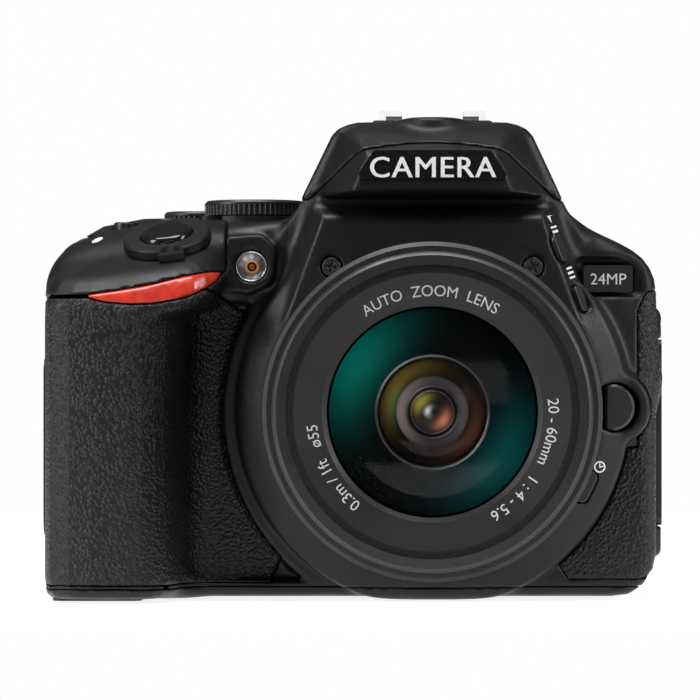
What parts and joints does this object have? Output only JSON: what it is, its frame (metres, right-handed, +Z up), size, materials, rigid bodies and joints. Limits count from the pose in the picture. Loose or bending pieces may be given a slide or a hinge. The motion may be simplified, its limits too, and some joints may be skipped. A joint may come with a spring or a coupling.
{
  "type": "dslr camera",
  "caption": "Single-lens reflex camera body with hand grip, top dials, pop-up flash, swing-out rear screen, doors and a ribbed retractable zoom lens facing forward.",
  "frame": {"origin": "centre of the tripod socket's mouth in the base, below the lens axis", "axes": "+Z up, lens looks along -Y, hand grip on the -X side"},
  "size_m": [0.1246, 0.1265, 0.0976],
  "materials": {
    "body_plastic": "fine speckled matt",
    "grip_rubber": "pebbled",
    "accent_red": "satin",
    "gloss_black": "gloss",
    "lamp_glass": "clear",
    "steel": "brushed",
    "soft_rubber": "matt",
    "glass": "coated",
    "mirror_coat": "polished",
    "chrome": "polished",
    "inner_black": "flocked matt",
    "sensor": "filter glass",
    "battery_grey": "matt",
    "card_blue": "matt",
    "flash_clear": "ribbed clear",
    "dial_plastic": "matt",
    "button_plastic": "satin",
    "curtain": "matt",
    "screen_glass": "gloss",
    "lens_plastic": "satin",
    "lens_rubber": "ribbed"
  },
  "bodies": {
    "body": {"front_cover": "body_plastic", "top_cover": "body_plastic", "rear_cover": "body_plastic", "bottom_cover": "body_plastic", "grip_skin": "grip_rubber", "front_skin": "grip_rubber", "thumb_skin": "grip_rubber", "accent_strip": "accent_red", "name_plate": "gloss_black", "badge_plate": "gloss_black", "af_lamp": "lamp_glass", "strap_lugs": "steel", "hot_shoe": "steel", "eyecup": "soft_rubber", "eyepiece_lens": "glass", "pentaprism": "mirror_coat", "tripod_socket": "steel", "camera_mount": "chrome", "mirror_box": "inner_black", "shutter_frame": "inner_black", "image_sensor": "sensor", "connector_ports": "inner_black", "battery": "battery_grey", "memory_card": "card_blue"},
    "flash": {"flash_head": "body_plastic", "flash_lamp": "flash_clear"},
    "monitor": {"monitor_housing": "body_plastic", "monitor_screen": "screen_glass"},
    "lens": {"rear_barrel": "lens_plastic"},
    "lens_front": {"inner_barrel": "lens_plastic", "name_ring": "lens_plastic", "front_glass": "glass", "lens_elements": "glass"},
    "shutter_button": {"shutter_button": "steel"},
    "power_switch": {"power_switch": "body_plastic"},
    "mode_dial": {"mode_dial": "dial_plastic"},
    "live_view_lever": {"live_view_lever": "body_plastic"},
    "command_dial": {"command_dial": "dial_plastic"},
    "diopter_dial": {"diopter_dial": "dial_plastic"},
    "movie_button": {"movie_button": "button_plastic"},
    "exposure_button": {"exposure_button": "button_plastic"},
    "flash_button": {"flash_button": "button_plastic"},
    "function_button": {"function_button": "button_plastic"},
    "timer_button": {"timer_button": "button_plastic"},
    "lens_release_button": {"lens_release_button": "button_plastic"},
    "play_button": {"play_button": "button_plastic"},
    "zoom_in_button": {"zoom_in_button": "button_plastic"},
    "zoom_out_button": {"zoom_out_button": "button_plastic"},
    "delete_button": {"delete_button": "button_plastic"},
    "ae_lock_button": {"ae_lock_button": "button_plastic"},
    "menu_button": {"menu_button": "button_plastic"},
    "selector_pad": {"selector_pad": "button_plastic"},
    "ok_button": {"ok_button": "button_plastic"},
    "reflex_mirror": {"reflex_mirror": "mirror_coat"},
    "shutter_curtain": {"shutter_curtain": "curtain"},
    "battery_door": {"battery_door": "body_plastic"},
    "card_door": {"card_door": "body_plastic"},
    "connector_cover": {"connector_cover": "soft_rubber"},
    "zoom_ring": {"zoom_ring": "lens_rubber"},
    "focus_ring": {"focus_ring": "lens_rubber"}
  },
  "joints": [
    {"name": "flash_popup", "type": "hinge", "parent": "body", "child": "flash", "pos_m": [0, -0.003, 0.0933], "axis": [-1, 0, 0], "range_deg": [0, 65]},
    {"name": "shutter_press", "type": "slide", "parent": "body", "child": "shutter_button", "axis": [0.128, 0.384, -0.9144], "range_m": [0, 0.001], "stiffness_N_per_m": 200},
    {"name": "power_turn", "type": "hinge", "parent": "body", "child": "power_switch", "pos_m": [-0.0523, -0.013, 0.0702], "axis": [-0.128, -0.384, 0.9144], "range_deg": [0, 30]},
    {"name": "mode_turn", "type": "hinge", "parent": "body", "child": "mode_dial", "pos_m": [-0.0358, 0.006, 0.077], "axis": [0, 0, 1], "continuous": true},
    {"name": "live_view_turn", "type": "hinge", "parent": "body", "child": "live_view_lever", "pos_m": [-0.0358, 0.006, 0.0756], "axis": [0, 0, 1], "range_deg": [0, 12], "stiffness_Nm_per_rad": 0.05},
    {"name": "command_turn", "type": "hinge", "parent": "body", "child": "command_dial", "pos_m": [-0.0475, 0.0205, 0.077], "axis": [0, 0, 1], "continuous": true},
    {"name": "diopter_turn", "type": "hinge", "parent": "body", "child": "diopter_dial", "pos_m": [-0.0213, 0.034, 0.08], "axis": [0, 1, 0], "continuous": true},
    {"name": "movie_press", "type": "slide", "parent": "body", "child": "movie_button", "axis": [0, 0, -1], "range_m": [0, 0.0006], "stiffness_N_per_m": 200},
    {"name": "exposure_press", "type": "slide", "parent": "body", "child": "exposure_button", "axis": [0, 0, -1], "range_m": [0, 0.0006], "stiffness_N_per_m": 200},
    {"name": "flash_button_press", "type": "slide", "parent": "body", "child": "flash_button", "axis": [-0.8131, 0.5, -0.2981], "range_m": [0, 0.0006], "stiffness_N_per_m": 200},
    {"name": "function_press", "type": "slide", "parent": "body", "child": "function_button", "axis": [-0.8131, 0.5, -0.2981], "range_m": [0, 0.0006], "stiffness_N_per_m": 200},
    {"name": "timer_press", "type": "slide", "parent": "body", "child": "timer_button", "axis": [0, 1, 0], "range_m": [0, 0.0006], "stiffness_N_per_m": 200},
    {"name": "lens_release_press", "type": "slide", "parent": "body", "child": "lens_release_button", "axis": [0, 1, 0], "range_m": [0, 0.0009], "stiffness_N_per_m": 200},
    {"name": "play_press", "type": "slide", "parent": "body", "child": "play_button", "axis": [0, -1, 0], "range_m": [0, 0.0008], "stiffness_N_per_m": 200},
    {"name": "zoom_in_press", "type": "slide", "parent": "body", "child": "zoom_in_button", "axis": [0, -1, 0], "range_m": [0, 0.0008], "stiffness_N_per_m": 200},
    {"name": "zoom_out_press", "type": "slide", "parent": "body", "child": "zoom_out_button", "axis": [0, -1, 0], "range_m": [0, 0.0008], "stiffness_N_per_m": 200},
    {"name": "delete_press", "type": "slide", "parent": "body", "child": "delete_button", "axis": [0, -1, 0], "range_m": [0, 0.0008], "stiffness_N_per_m": 200},
    {"name": "ae_lock_press", "type": "slide", "parent": "body", "child": "ae_lock_button", "axis": [0, -1, 0], "range_m": [0, 0.0008], "stiffness_N_per_m": 200},
    {"name": "menu_press", "type": "slide", "parent": "body", "child": "menu_button", "axis": [0, -1, 0], "range_m": [0, 0.0008], "stiffness_N_per_m": 200},
    {"name": "selector_tilt", "type": "hinge", "parent": "body", "child": "selector_pad", "pos_m": [-0.057, 0.0294, 0.037], "axis": [0, 0, 1], "range_deg": [-3, 3], "stiffness_Nm_per_rad": 0.2},
    {"name": "ok_press", "type": "slide", "parent": "selector_pad", "child": "ok_button", "axis": [0, -1, 0], "range_m": [0, 0.0006], "stiffness_N_per_m": 200},
    {"name": "mirror_flip", "type": "hinge", "parent": "body", "child": "reflex_mirror", "pos_m": [0, 0.013, 0.051], "axis": [-1, 0, 0], "range_deg": [0, 45], "stiffness_Nm_per_rad": 0.02},
    {"name": "shutter_run", "type": "slide", "parent": "body", "child": "shutter_curtain", "axis": [0, 0, -1], "range_m": [0, 0.017], "stiffness_N_per_m": 60},
    {"name": "battery_door_swing", "type": "hinge", "parent": "body", "child": "battery_door", "pos_m": [-0.06575, 0.015, 0.0002], "axis": [1, 0, 0], "range_deg": [0, 85]},
    {"name": "card_door_swing", "type": "hinge", "parent": "body", "child": "card_door", "pos_m": [-0.078, 0.0247, 0.03], "axis": [0, 0, -1], "range_deg": [0, 100]},
    {"name": "connector_cover_swing", "type": "hinge", "parent": "body", "child": "connector_cover", "pos_m": [0.0452, -0.004, 0.033], "axis": [0, 0, -1], "range_deg": [0, 100]},
    {"name": "monitor_swing", "type": "hinge", "parent": "body", "child": "monitor", "pos_m": [0.0426, 0.0335, 0.035], "axis": [0, 0, -1], "range_deg": [0, 180]},
    {"name": "lens_twist", "type": "hinge", "parent": "body", "child": "lens", "pos_m": [0, -0.022, 0.037], "axis": [0, -1, 0], "range_deg": [0, 60]},
    {"name": "zoom_turn", "type": "hinge", "parent": "lens", "child": "zoom_ring", "pos_m": [0, -0.05, 0.037], "axis": [0, -1, 0], "range_deg": [0, 80]},
    {"name": "barrel_slide", "type": "slide", "parent": "lens", "child": "lens_front", "axis": [0, -1, 0], "range_m": [0, 0.0181]},
    {"name": "focus_turn", "type": "hinge", "parent": "lens_front", "child": "focus_ring", "pos_m": [0, -0.076, 0.037], "axis": [0, -1, 0], "continuous": true}
  ],
  "couplings": [
    {"joint": "barrel_slide", "follows": "zoom_turn", "m_per_rad": 0.012892}
  ]
}
